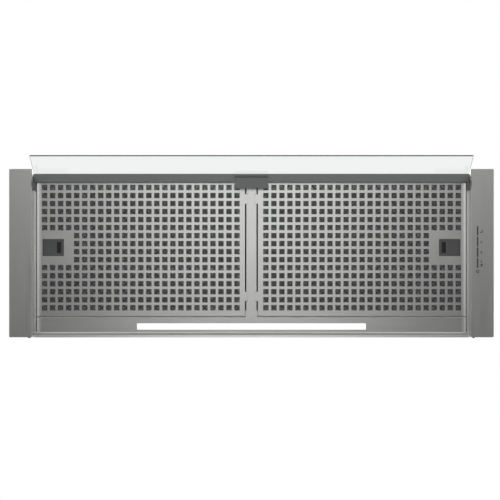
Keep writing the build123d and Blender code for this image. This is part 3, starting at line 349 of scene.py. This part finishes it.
def strand_layer(low, high, level, cell, width, thickness, holes):
    """Expanded metal: zigzag strands side by side, each meeting the next at its peaks.

    A diamond is cell[0] wide and cell[1] long. Strand i runs along y at
    x = x0 + i * cell[0] / 2 + (cell[0] / 4) * zigzag(2 * y / cell[1] + i), where zigzag is a triangle
    wave between -1 and 1. Its section is a triangle, flat side down. Segments whose middle lies in
    one of the holes (low x, high x, low y, high y) are left out and the cut ends closed.
    """
    wide, long = cell
    count = int(round((high[1] - low[1]) / (long / 2)))
    strands = int((high[0] - low[0] - wide / 2) / (wide / 2)) + 1
    y = np.linspace(low[1], high[1], count + 1)
    strand = np.arange(strands)[:, None]
    wave = 1.0 - 2.0 * ((np.arange(count + 1)[None, :] + strand) % 2)
    spare = (high[0] - low[0]) - (strands - 1) * wide / 2 - wide / 2
    x = low[0] + spare / 2 + wide / 4 + strand * wide / 2 + wave * wide / 4
    half = width * math.hypot(wide, long) / long / 2
    offsets = np.array([[half, 0.0], [-half, 0.0], [0.0, thickness]])
    grid = np.empty((strands, count + 1, 3, 3))
    grid[..., 0] = np.clip(x[:, :, None] + offsets[None, None, :, 0], low[0], high[0])
    grid[..., 1] = y[None, :, None]
    grid[..., 2] = level + offsets[None, None, :, 1]
    points = grid.reshape(-1, 3)
    middle_x = (x[:, :-1] + x[:, 1:]) / 2
    middle_y = np.broadcast_to((y[:-1] + y[1:]) / 2, (strands, count))
    kept = np.ones((strands, count), bool)
    for x0, x1, y0, y1 in holes:
        inside = (middle_x > x0 - wide / 2) & (middle_x < x1 + wide / 2)
        inside &= (middle_y > y0 - long / 4) & (middle_y < y1 + long / 4)
        kept &= ~inside
    index = np.arange(strands * (count + 1) * 3).reshape(strands, count + 1, 3)
    start, end = index[:, :-1][kept], index[:, 1:][kept]
    sides = [
        np.stack([start[:, a], start[:, b], end[:, b], end[:, a]], 1)
        for a, b in ((0, 1), (1, 2), (2, 0))
    ]
    padded = np.pad(kept, ((0, 0), (1, 1)))
    opens = padded[:, 1:] & ~padded[:, :-1]
    closes = padded[:, :-1] & ~padded[:, 1:]
    caps = [index[opens][:, ::-1], index[closes]]
    faces = [f.tolist() for part in sides + caps for f in part]
    return points, faces


def join_layers(layers):
    """Several layers of points and faces as one mesh."""
    points, faces, count = [], [], 0
    for layer_points, layer_faces in layers:
        points.append(layer_points)
        faces += [[i + count for i in face] for face in layer_faces]
        count += len(layer_points)
    return np.concatenate(points), faces


def ribbon(path, width, level, closed=False):
    """A flat printed line: at each point of the path, two points half the width to each side.

    The side direction is the path's tangent turned a quarter turn; the tangent is the central
    difference of the path. The face looks down.
    """
    path = np.asarray(path, float)
    if closed:
        tangent = np.roll(path, -1, 0) - np.roll(path, 1, 0)
    else:
        tangent = np.gradient(path, axis=0)
    tangent /= np.linalg.norm(tangent, axis=1)[:, None]
    side = np.stack([-tangent[:, 1], tangent[:, 0]], 1) * width / 2
    count = len(path)
    points = np.zeros((2 * count, 3))
    points[:count, :2] = path + side
    points[count:, :2] = path - side
    points[:, 2] = level
    step = np.arange(count if closed else count - 1)
    after = (step + 1) % count
    faces = np.stack([step, after, after + count, step + count], 1)
    return points, faces.tolist()


def arc(centre, radius, start, end, count=24):
    """Points of a circle from one angle to another, in degrees."""
    angle = np.radians(np.linspace(start, end, count))
    return np.stack([centre[0] + radius * np.cos(angle), centre[1] + radius * np.sin(angle)], 1)


# ------------------------------------------------------------------ settings


class HOOD_PG_finishes(bpy.types.PropertyGroup):
    """Colours and sheen of the metals and plastics."""

    steel: bpy.props.FloatVectorProperty(
        name="Stainless", description="Colour of the grained stainless steel",
        default=linear("#CDCECC")[:3], size=3, min=0, max=1, subtype="COLOR")
    steel_roughness: bpy.props.FloatProperty(
        name="Stainless roughness", description="How satin the stainless steel is",
        default=0.34, min=0.05, max=1, subtype="FACTOR")
    bar: bpy.props.FloatVectorProperty(
        name="Visor bar", description="Colour of the dark anodised bar",
        default=linear("#909291")[:3], size=3, min=0, max=1, subtype="COLOR")
    latch: bpy.props.FloatVectorProperty(
        name="Latch", description="Colour of the latches' plastic",
        default=linear("#6C6E6D")[:3], size=3, min=0, max=1, subtype="COLOR")
    glass: bpy.props.FloatVectorProperty(
        name="Glass", description="Cast of the visor's glass",
        default=linear("#EFF2F0")[:3], size=3, min=0, max=1, subtype="COLOR")
    lamp: bpy.props.FloatProperty(
        name="Lamp", description="How bright the lit diffuser shows", default=0.85, min=0, max=5)


class HOOD_PG_filter_mesh(bpy.types.PropertyGroup):
    """Sizes of the expanded metal in the filters."""

    cell: bpy.props.FloatVectorProperty(
        name="Diamond", description="Width and length of one diamond",
        default=(4.0 * MM, 4.0 * MM), size=2, min=1 * MM, max=20 * MM, unit="LENGTH")
    width: bpy.props.FloatProperty(
        name="Strand width", description="Width of one strand",
        default=0.85 * MM, min=0.2 * MM, max=3 * MM, unit="LENGTH", subtype="DISTANCE")
    thickness: bpy.props.FloatProperty(
        name="Strand thickness", description="Height of one strand",
        default=0.6 * MM, min=0.1 * MM, max=2 * MM, unit="LENGTH", subtype="DISTANCE")
    colour: bpy.props.FloatVectorProperty(
        name="Strands", description="Colour of the aluminium strands",
        default=linear("#8E908F")[:3], size=3, min=0, max=1, subtype="COLOR")


class HOOD_PG_touch_marks(bpy.types.PropertyGroup):
    """Place and size of the printed marks over the touch controls."""

    slider_x: bpy.props.FloatProperty(
        name="Slider X", description="Where the printed slider lies across the cover",
        default=418.8 * MM, unit="LENGTH", subtype="DISTANCE")
    icons_x: bpy.props.FloatProperty(
        name="Icons X", description="Where the small marks lie across the cover",
        default=425.5 * MM, unit="LENGTH", subtype="DISTANCE")
    start: bpy.props.FloatProperty(
        name="Slider start", description="Front end of the slider",
        default=-50.2 * MM, unit="LENGTH", subtype="DISTANCE")
    segment: bpy.props.FloatProperty(
        name="Segment", description="Length of one segment of the slider",
        default=17.9 * MM, min=1 * MM, unit="LENGTH", subtype="DISTANCE")
    gap: bpy.props.FloatProperty(
        name="Gap", description="Gap between two segments",
        default=1.9 * MM, min=0, unit="LENGTH", subtype="DISTANCE")
    line: bpy.props.FloatProperty(
        name="Line", description="Width of the printed lines",
        default=2.8 * MM, min=0.1 * MM, unit="LENGTH", subtype="DISTANCE")
    colour: bpy.props.FloatVectorProperty(
        name="Ink", description="Colour of the printed marks",
        default=linear("#5A5C5B")[:3], size=3, min=0, max=1, subtype="COLOR")


class HOOD_PG_stage(bpy.types.PropertyGroup):
    """Camera, floor and lights."""

    eye: bpy.props.FloatVectorProperty(
        name="Camera", description="Where the camera stands, straight below the hood",
        default=(-2.7 * MM, -5.8 * MM, -1618 * MM), size=3, subtype="TRANSLATION", unit="LENGTH")
    lens: bpy.props.FloatProperty(
        name="Lens", description="Focal length on a 36 mm wide sensor", default=62.2, min=10, max=300)
    floor_level: bpy.props.FloatProperty(
        name="Floor level", description="Height of the floor below the cabinet",
        default=-2.1, unit="LENGTH", subtype="DISTANCE")
    floor_glow: bpy.props.FloatProperty(
        name="Floor brightness", description="How bright the floor shows to the camera",
        default=0.8, min=0, max=1)
    sky: bpy.props.FloatProperty(
        name="Surround", description="Strength of the soft light all round", default=0.0, min=0, max=5)
    panel_level: bpy.props.FloatProperty(
        name="Panel level", description="Height of the soft panels, just above the floor",
        default=-2.0, unit="LENGTH", subtype="DISTANCE")
    top_level: bpy.props.FloatProperty(
        name="Top level", description="Height of the soft panel over the hood's body",
        default=0.95, unit="LENGTH", subtype="DISTANCE")
    top_glow: bpy.props.FloatProperty(
        name="Top panel", description="Strength of the soft panel over the hood's body",
        default=1.3, min=0)
    glow: bpy.props.FloatProperty(
        name="Panels", description="Strength of all the soft panels together", default=0.97, min=0)


# ------------------------------------------------------------------ operators


class HOOD_OT_finish_sheet(bpy.types.Operator):
    """Grained stainless steel on the covers, the frame, the bars and the filters"""

    bl_idname = "hood.finish_sheet"
    bl_label = "Stainless sheet"

    def execute(self, context):
        values = context.scene.hood_finishes
        colour = tuple(values.steel) + (1.0,)
        rough = values.steel_roughness
        lengthways = grained_stainless("stainless_grained_lengthways", colour, rough, "X")
        crossways = grained_stainless("stainless_grained_crossways", colour, rough, "Y")
        dress(crossways, "side_cover_left", "side_cover_right", "centre_bar")
        dress(lengthways, "base_frame", "light_bar", "rear_rail", "filter_cover_left",
              "filter_cover_right")
        return {"FINISHED"}


class HOOD_OT_finish_body(bpy.types.Operator):
    """Galvanised sheet on the body, the brackets and the filters' back frames"""

    bl_idname = "hood.finish_body"
    bl_label = "Body sheet"

    def execute(self, context):
        zinc = zinc_sheet("steel_hot_dip_galvanised", linear("#B9BDC0"))
        dress(zinc, "housing_shell", "top_plate", "filter_back_left", "filter_back_right",
              "hinge_bracket_left", "hinge_bracket_right", "motor_bracket")
        return {"FINISHED"}


class HOOD_OT_finish_visor(bpy.types.Operator):
    """Glass, dark anodised bar, arms, handle and washers of the visor"""

    bl_idname = "hood.finish_visor"
    bl_label = "Visor"

    def execute(self, context):
        values = context.scene.hood_finishes
        dress(clear_glass("glass_tempered_clear", tuple(values.glass) + (1.0,)), "visor_glass")
        colour = tuple(values.bar) + (1.0,)
        bar = bare_metal("aluminium_anodised_dark", colour, roughness=0.55)
        dress(bar, "visor_profile", "visor_arm_left", "visor_arm_right")
        # painted shade: the handle gets a darkened copy of the bar's anodised finish
        darker = tuple(c * HANDLE_SHADE for c in colour[:3]) + (1.0,)
        dress(bare_metal("aluminium_anodised_painted_shade", darker, roughness=0.5), "visor_handle")
        nylon = moulded_plastic("nylon_moulded_natural", linear("#DAD9D2"), roughness=0.5)
        dress(nylon, "friction_washers")
        return {"FINISHED"}


class HOOD_OT_finish_latches(bpy.types.Operator):
    """Moulded plastic of the filters' latches, and their springs"""

    bl_idname = "hood.finish_latches"
    bl_label = "Latches"

    def execute(self, context):
        colour = tuple(context.scene.hood_finishes.latch) + (1.0,)
        rim = tuple(c * RIM_TONE for c in colour[:3]) + (1.0,)
        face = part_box("latch_slider_left")[0][2]
        # the slider's finger cup is painted near-black, as painted shade for its hollow
        slate = moulded_plastic("abs_moulded_slate", colour, roughness=0.5,
                                cup_shade_above=face + LATCH_CUP_SHADE_RISE)
        dress(slate, "latch_slider_left", "latch_slider_right")
        dress(moulded_plastic("abs_moulded_slate_rim", rim, roughness=0.5), "latch_bezel_left",
              "latch_bezel_right")
        dress(bare_metal("spring_steel_bright", linear("#C4C6C8"), roughness=0.25), "latch_spring_left",
              "latch_spring_right")
        return {"FINISHED"}


class HOOD_OT_finish_lamp(bpy.types.Operator):
    """Lit opal strip, lamp channel and lamp board"""

    bl_idname = "hood.finish_lamp"
    bl_label = "Lamp"

    def execute(self, context):
        strength = context.scene.hood_finishes.lamp
        dress(lit_opal("acrylic_opal_lit", linear("#FFFFFF"), strength), "led_diffuser")
        dress(bare_metal("aluminium_extruded_satin", linear("#C2C4C5"), roughness=0.4), "lamp_channel")
        board = circuit_board("fibreglass_solder_mask", linear("#1E5A38"), linear("#4C8A55"))
        dress(board, "led_strip", "touch_board")
        return {"FINISHED"}


class HOOD_OT_finish_blower(bpy.types.Operator):
    """Scroll, impeller, motor, mounts and outlet"""

    bl_idname = "hood.finish_blower"
    bl_label = "Blower and outlet"

    def execute(self, context):
        black = moulded_plastic("polypropylene_moulded_black", linear("#2B2C2D"), roughness=0.5)
        dress(black, "scroll_left", "scroll_right", "inlet_ring_left", "inlet_ring_right",
              "duct_collar", "cable_gland")
        grey = moulded_plastic("abs_moulded_grey", linear("#6E7173"), roughness=0.45)
        dress(grey, "impeller", "damper_flap_front", "damper_flap_rear", "control_box",
              "control_box_lid", "led_driver")
        dress(moulded_plastic("enamel_satin_black", linear("#26282A"), roughness=0.35), "motor")
        dress(soft_moulding("rubber_moulded_black", linear("#1C1C1C"), pore=0.8), "motor_mounts",
              "rear_bumpers")
        dress(soft_moulding("foam_closed_cell_white", linear("#D2D2CC"), pore=1.2), "collar_gasket")
        dress(moulded_plastic("nylon_moulded_white", linear("#E4E3DC"), roughness=0.45), "capacitor",
              "terminal_block")
        return {"FINISHED"}


class HOOD_OT_finish_fasteners(bpy.types.Operator):
    """Bright zinc-plated screws, pins, clips and the motor's shaft"""

    bl_idname = "hood.finish_fasteners"
    bl_label = "Fasteners"

    def execute(self, context):
        plated = bare_metal("steel_zinc_plated", linear("#C9CBCD"), roughness=0.28)
        dress(plated, "frame_screws", "top_screws", "blower_screws", "visor_screws", "pivot_pins",
              "rotor_shaft", "cover_clips")
        return {"FINISHED"}


# two layers of the mesh show through a filter's holes: a fine one just above its cover, and a
# coarser one higher up that lies in its shade
LOWER_RISE, UPPER_RISE = 0.1 * MM, 4.6 * MM
# the last factor is painted shade: the upper layer's colour is darkened to it for the shade it lies in
UPPER_CELLS, UPPER_WIDTH, UPPER_SHADE = 2.3, 2.0, 0.06
BOLT_ROOM = 6 * MM  # left free on each side of the latch's bolt


class HOOD_OT_add_filter_mesh(bpy.types.Operator):
    """Expanded aluminium behind the filters' square holes"""

    bl_idname = "hood.add_filter_mesh"
    bl_label = "Filter mesh"

    def execute(self, context):
        values = context.scene.hood_filter_mesh
        bright = tuple(values.colour) + (1.0,)
        metal = bare_metal("aluminium_expanded", bright, roughness=0.5)
        # painted shade: the upper layer's strands get a darkened copy of the strands' colour, a little
        # rougher
        shaded = tuple(UPPER_SHADE * c for c in bright[:3]) + (1.0,)
        dull = bare_metal("aluminium_expanded_painted_shade", shaded, roughness=0.6)
        for side in ("left", "right"):
            node = f"filter_mesh_{side}"
            low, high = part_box(node)
            box_low, box_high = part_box(f"latch_bezel_{side}")
            slider_low, slider_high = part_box(f"latch_slider_{side}")
            holes = [(box_low[0], box_high[0], box_low[1], box_high[1])]
            outer = (box_high[0], high[0]) if side == "right" else (low[0], box_low[0])
            middle = (slider_low[1] + slider_high[1]) / 2
            holes.append((*outer, middle - BOLT_ROOM, middle + BOLT_ROOM))
            cell = tuple(values.cell)
            layers = [
                strand_layer(low, high, low[2] + LOWER_RISE, cell, values.width, values.thickness,
                             holes),
                strand_layer(low, high, low[2] + UPPER_RISE, tuple(UPPER_CELLS * c for c in cell),
                             UPPER_WIDTH * values.width, values.thickness, holes),
            ]
            points, faces = join_layers(layers)
            piece = make_piece(f"expanded_mesh_{side}", points, faces, metal, f"filter_{side}")
            piece.data.materials.append(dull)
            upper = np.arange(len(faces)) >= len(layers[0][1])
            piece.data.polygons.foreach_set("material_index", upper.astype(int))
            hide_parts(node)
        return {"FINISHED"}


# the printed marks: a slider of segments with a ring at its end, and beside it a bow, three dashes
# (middle and half length in millimetres) and a dot inside a second bow
SEGMENTS, RING_GAP = 4, 5 * MM
BOW_Y, DOT_Y = -40.6 * MM, 21.8 * MM
DASHES = ((-20.4, 1.9), (-1.4, 2.3), (15.5, 1.8))


class HOOD_OT_add_touch_marks(bpy.types.Operator):
    """Printed slider and small plain marks on the right cover"""

    bl_idname = "hood.add_touch_marks"
    bl_label = "Touch marks"

    def execute(self, context):
        values = context.scene.hood_touch_marks
        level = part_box("side_cover_right")[0][2] - 0.03 * MM
        x, line = values.slider_x, values.line
        marks = []
        for step in range(SEGMENTS):
            y = values.start + step * (values.segment + values.gap)
            path = [(x, y + values.segment * t) for t in (0, 0.5, 1)]
            marks.append(ribbon(path, line, level))
        ring = (x, values.start + SEGMENTS * (values.segment + values.gap) + RING_GAP)
        marks.append(ribbon(arc(ring, 2.3 * MM, 0, 345), 1.4 * MM, level, closed=True))
        x = values.icons_x
        marks.append(ribbon(arc((x, BOW_Y), 2.4 * MM, -70, 160), 1.5 * MM, level))
        for y, reach in DASHES:
            path = [(x, (y + reach * t) * MM) for t in (-1, 0, 1)]
            marks.append(ribbon(path, 1.7 * MM, level))
        marks.append(ribbon(arc((x, DOT_Y), 2.5 * MM, -60, 120), 1.2 * MM, level))
        marks.append(ribbon(arc((x, DOT_Y), 0.9 * MM, 0, 345), 1.2 * MM, level, closed=True))
        points, faces = join_layers(marks)
        ink = moulded_plastic("ink_screen_printed", tuple(values.colour) + (1.0,), roughness=0.5)
        piece = make_piece("touch_marks", points, faces, ink, "hood")
        film = piece.modifiers.new("film", "SOLIDIFY")
        film.thickness = 0.02 * MM
        film.offset = -1.0
        return {"FINISHED"}


# soft panels that face up at the hood from below, each a little above the one before, because two
# lights at one level hide each other: name, middle (x, y), size (x, y) and brightness
LIGHTS = (
    ("panel_middle", (0.0, -0.25), (1.1, 1.3), 1.08),
    ("panel_wide", (0.0, -0.60), (2.4, 0.8), 0.45),
    ("panel_front", (0.0, -1.90), (5.0, 1.6), 0.20),
    ("panel_right", (2.4, 0.1), (1.6, 3.0), 1.10),
    ("panel_left", (-2.4, 0.1), (1.6, 3.0), 1.10),
)


class HOOD_OT_add_stage(bpy.types.Operator):
    """Plain pale floor, soft light and the camera below"""

    bl_idname = "hood.add_stage"
    bl_label = "Stage"

    def execute(self, context):
        values = context.scene.hood_stage
        self.add_floor(values)
        self.add_surround(context, values)
        for step, (name, (x, y), (width, depth), glow) in enumerate(LIGHTS):
            place = (x, y, values.panel_level + step * PANEL_STEP)
            self.add_panel(name, place, width, depth, glow * values.glow, math.pi)
        self.add_panel("panel_above", (0.0, 0.0, values.top_level), *TOP_PANEL_SIZE,
                       values.top_glow * values.glow, 0.0)
        self.add_camera(context, values)
        return {"FINISHED"}

    def add_floor(self, values):
        """A square floor of matte pale paint, which shows pale to the eye and through glass."""
        reach, z = 4.0, values.floor_level
        points = [(-reach, -reach, z), (reach, -reach, z), (reach, reach, z), (-reach, reach, z)]
        mesh = bpy.data.meshes.new("floor")
        mesh.from_pydata(points, [], [(0, 1, 2, 3)])
        material, tree = new_material("floor_matte_pale")
        where = add(tree, "ShaderNodeTexCoord").outputs["Object"]
        drift = add(tree, "ShaderNodeTexNoise", {"Vector": where, "Scale": 2.0})
        path = add(tree, "ShaderNodeLightPath")
        seen = add(tree, "ShaderNodeMath", {0: path.outputs["Is Camera Ray"],
                                            1: path.outputs["Is Transmission Ray"]}, operation="MAXIMUM")
        glow = add(tree, "ShaderNodeMapRange", {"Value": seen.outputs[0], "To Min": 0.0,
                                                "To Max": values.floor_glow})
        shade = add(tree, "ShaderNodeMix", data_type="RGBA")
        tree.links.new(drift.outputs["Fac"], shade.inputs["Factor"])
        shade.inputs[6].default_value = linear("#DCDCDA")
        shade.inputs[7].default_value = linear("#E2E2E0")
        paint = add(tree, "ShaderNodeBsdfPrincipled",
                    {"Base Color": shade.outputs[2], "Roughness": 0.8,
                     "Emission Color": shade.outputs[2], "Emission Strength": glow.outputs[0]})
        close(tree, paint)
        mesh.materials.append(material)
        floor = bpy.data.objects.new("floor", mesh)
        bpy.context.scene.collection.objects.link(floor)

    def add_surround(self, context, values):
        """A world that shows as plain white to the eye, in gloss and in glass; sky is its own light."""
        world = bpy.data.worlds.new("surround")
        context.scene.world = world
        world.use_nodes = True
        tree = world.node_tree
        tree.nodes.clear()
        path = add(tree, "ShaderNodeLightPath")
        seen = add(tree, "ShaderNodeMath", {0: path.outputs["Is Camera Ray"],
                                            1: path.outputs["Is Glossy Ray"]}, operation="MAXIMUM")
        seen = add(tree, "ShaderNodeMath", {0: seen.outputs[0],
                                            1: path.outputs["Is Transmission Ray"]}, operation="MAXIMUM")
        strength = add(tree, "ShaderNodeMapRange", {"Value": seen.outputs[0], "To Min": values.sky,
                                                    "To Max": 1.0})
        sky = add(tree, "ShaderNodeBackground", {"Color": linear("#FFFFFF"),
                                                 "Strength": strength.outputs[0]})
        add(tree, "ShaderNodeOutputWorld", {"Surface": sky.outputs[0]})

    def add_panel(self, name, place, width, depth, glow, turn):
        """A soft light that neither the camera nor the glass shows.

        glow is its brightness; turn is half a turn where it faces up and 0 where it faces down.
        """
        data = bpy.data.lights.new(name, "AREA")
        data.shape = "RECTANGLE"
        data.size = width
        data.size_y = depth
        data.energy = glow * math.pi * width * depth
        lamp = bpy.data.objects.new(name, data)
        lamp.location = place
        lamp.rotation_euler = (0.0, turn, 0.0)
        lamp.visible_camera = False
        lamp.visible_transmission = False
        bpy.context.scene.collection.objects.link(lamp)

    def add_camera(self, context, values):
        """The camera looks straight up, with the user's side at the top of the picture."""
        data = bpy.data.cameras.new("camera")
        data.lens = values.lens
        data.sensor_width = 36.0
        data.clip_start = 0.01
        camera = bpy.data.objects.new("camera", data)
        camera.location = values.eye
        camera.rotation_euler = (math.pi, 0.0, 0.0)
        context.scene.collection.objects.link(camera)
        context.scene.camera = camera
        context.scene.view_settings.view_transform = "Standard"


class HOOD_PT_panel(bpy.types.Panel):
    """Lists the steps that finish the hood."""

    bl_label = "Range hood insert"
    bl_idname = "HOOD_PT_panel"
    bl_space_type = "VIEW_3D"
    bl_region_type = "UI"
    bl_category = "Hood"

    def draw(self, context):
        for step in OPERATORS:
            self.layout.operator(step.bl_idname)


OPERATORS = (
    HOOD_OT_finish_sheet,
    HOOD_OT_finish_body,
    HOOD_OT_finish_visor,
    HOOD_OT_finish_latches,
    HOOD_OT_finish_lamp,
    HOOD_OT_finish_blower,
    HOOD_OT_finish_fasteners,
    HOOD_OT_add_filter_mesh,
    HOOD_OT_add_touch_marks,
    HOOD_OT_add_stage,
)
SETTINGS = {
    "hood_finishes": HOOD_PG_finishes,
    "hood_filter_mesh": HOOD_PG_filter_mesh,
    "hood_touch_marks": HOOD_PG_touch_marks,
    "hood_stage": HOOD_PG_stage,
}


def register():
    for group in SETTINGS.values():
        bpy.utils.register_class(group)
    for step in OPERATORS + (HOOD_PT_panel,):
        bpy.utils.register_class(step)
    for name, group in SETTINGS.items():
        setattr(bpy.types.Scene, name, bpy.props.PointerProperty(type=group))


def unregister():
    for name in SETTINGS:
        delattr(bpy.types.Scene, name)
    for step in reversed(OPERATORS + (HOOD_PT_panel,)):
        bpy.utils.unregister_class(step)
    for group in reversed(tuple(SETTINGS.values())):
        bpy.utils.unregister_class(group)


def main():
    """Registers the classes and runs every step in order."""
    register()
    for step in OPERATORS:
        group, name = step.bl_idname.split(".")
        getattr(getattr(bpy.ops, group), name)()


if __name__ == "__main__":
    main()
